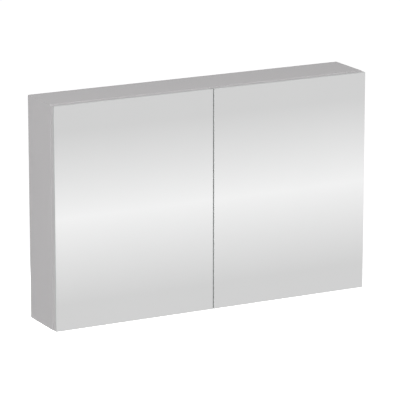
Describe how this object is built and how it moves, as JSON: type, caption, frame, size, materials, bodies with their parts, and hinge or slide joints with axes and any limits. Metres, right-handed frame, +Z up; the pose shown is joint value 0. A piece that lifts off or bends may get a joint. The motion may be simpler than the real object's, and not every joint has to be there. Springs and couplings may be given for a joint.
{
  "type": "mirror cabinet",
  "caption": "Wall-hung bathroom cabinet with handleless mirror doors on concealed linkage hinges, glass shelves and adjustable hangers.",
  "frame": {"origin": "middle of the four wall screws, in the wall plane", "axes": "+X to the right seen from the front, +Y into the wall, +Z up"},
  "size_m": [1, 0.17, 0.65],
  "materials": {
    "cabinet_board": "satin grey lacquer",
    "back_sheet": "matt pale grey lacquered fibreboard",
    "shelf_glass": "clear float glass with ground edges",
    "mirror_glass": "silvered float glass",
    "hinge_steel": "nickel-plated pressed steel",
    "screw_steel": "zinc-plated steel",
    "hanger_steel": "galvanised sheet steel",
    "cam_zinc": "die-cast zinc",
    "hanger_plastic": "moulded plastic",
    "dowel_wood": "beech",
    "bumper_plastic": "clear soft plastic"
  },
  "bodies": {
    "carcass": {"left_side_panel": "cabinet_board", "right_side_panel": "cabinet_board", "top_panel": "cabinet_board", "bottom_panel": "cabinet_board", "centre_partition": "cabinet_board", "back_panel": "back_sheet", "cam_locks": "cam_zinc", "cam_bolts": "screw_steel", "dowels": "dowel_wood", "left_wall_plate": "hanger_steel", "left_hanger_hook": "hanger_steel", "left_hanger_housing": "hanger_plastic", "left_lower_shelf": "shelf_glass", "left_lower_hinge_plate": "hinge_steel", "left_lower_hinge_arm": "hinge_steel", "left_upper_shelf": "shelf_glass", "left_upper_hinge_plate": "hinge_steel", "left_upper_hinge_arm": "hinge_steel", "right_wall_plate": "hanger_steel", "right_hanger_hook": "hanger_steel", "right_hanger_housing": "hanger_plastic", "right_lower_shelf": "shelf_glass", "right_lower_hinge_plate": "hinge_steel", "right_lower_hinge_arm": "hinge_steel", "right_upper_shelf": "shelf_glass", "right_upper_hinge_plate": "hinge_steel", "right_upper_hinge_arm": "hinge_steel", "hanger_adjusting_screws": "screw_steel", "hinge_adjusting_screws": "screw_steel", "hinge_arm_pins": "screw_steel", "hinge_plate_screws": "screw_steel", "shelf_pins": "screw_steel"},
    "left_outer_links": {"left_lower_outer_link": "hinge_steel", "left_upper_outer_link": "hinge_steel"},
    "left_inner_links": {"left_lower_inner_link": "hinge_steel", "left_upper_inner_link": "hinge_steel"},
    "left_door": {"left_lower_hinge_cup": "hinge_steel", "left_upper_hinge_cup": "hinge_steel", "left_hinge_cup_pins": "screw_steel", "left_hinge_cup_screws": "screw_steel", "left_door_board": "cabinet_board", "left_mirror": "mirror_glass", "left_door_bumpers": "bumper_plastic"},
    "right_outer_links": {"right_lower_outer_link": "hinge_steel", "right_upper_outer_link": "hinge_steel"},
    "right_inner_links": {"right_lower_inner_link": "hinge_steel", "right_upper_inner_link": "hinge_steel"},
    "right_door": {"right_lower_hinge_cup": "hinge_steel", "right_upper_hinge_cup": "hinge_steel", "right_hinge_cup_pins": "screw_steel", "right_hinge_cup_screws": "screw_steel", "right_door_board": "cabinet_board", "right_mirror": "mirror_glass", "right_door_bumpers": "bumper_plastic"}
  },
  "joints": [
    {"name": "left_outer_link_turn", "type": "hinge", "parent": "carcass", "child": "left_outer_links", "pos_m": [-0.4626, -0.1414, 0], "axis": [0, 0, 1], "range_deg": [0, 28.08]},
    {"name": "left_door_swing", "type": "hinge", "parent": "left_outer_links", "child": "left_door", "pos_m": [-0.489, -0.1527, 0], "axis": [0, 0, -1], "range_deg": [0, 123.07]},
    {"name": "left_inner_link_turn", "type": "hinge", "parent": "carcass", "child": "left_inner_links", "pos_m": [-0.462, -0.1455, 0], "axis": [0, 0, 1], "range_deg": [0, 17.77]},
    {"name": "right_outer_link_turn", "type": "hinge", "parent": "carcass", "child": "right_outer_links", "pos_m": [0.4626, -0.1414, 0], "axis": [0, 0, -1], "range_deg": [0, 28.08]},
    {"name": "right_door_swing", "type": "hinge", "parent": "right_outer_links", "child": "right_door", "pos_m": [0.489, -0.1527, 0], "axis": [0, 0, 1], "range_deg": [0, 123.07]},
    {"name": "right_inner_link_turn", "type": "hinge", "parent": "carcass", "child": "right_inner_links", "pos_m": [0.462, -0.1455, 0], "axis": [0, 0, -1], "range_deg": [0, 17.77]}
  ],
  "couplings": [
    {"joint": "left_outer_link_turn", "follows": "left_door_swing", "ratio": 0.2281},
    {"joint": "left_inner_link_turn", "follows": "left_door_swing", "ratio": 0.14435},
    {"joint": "right_outer_link_turn", "follows": "right_door_swing", "ratio": 0.2281},
    {"joint": "right_inner_link_turn", "follows": "right_door_swing", "ratio": 0.14435}
  ]
}
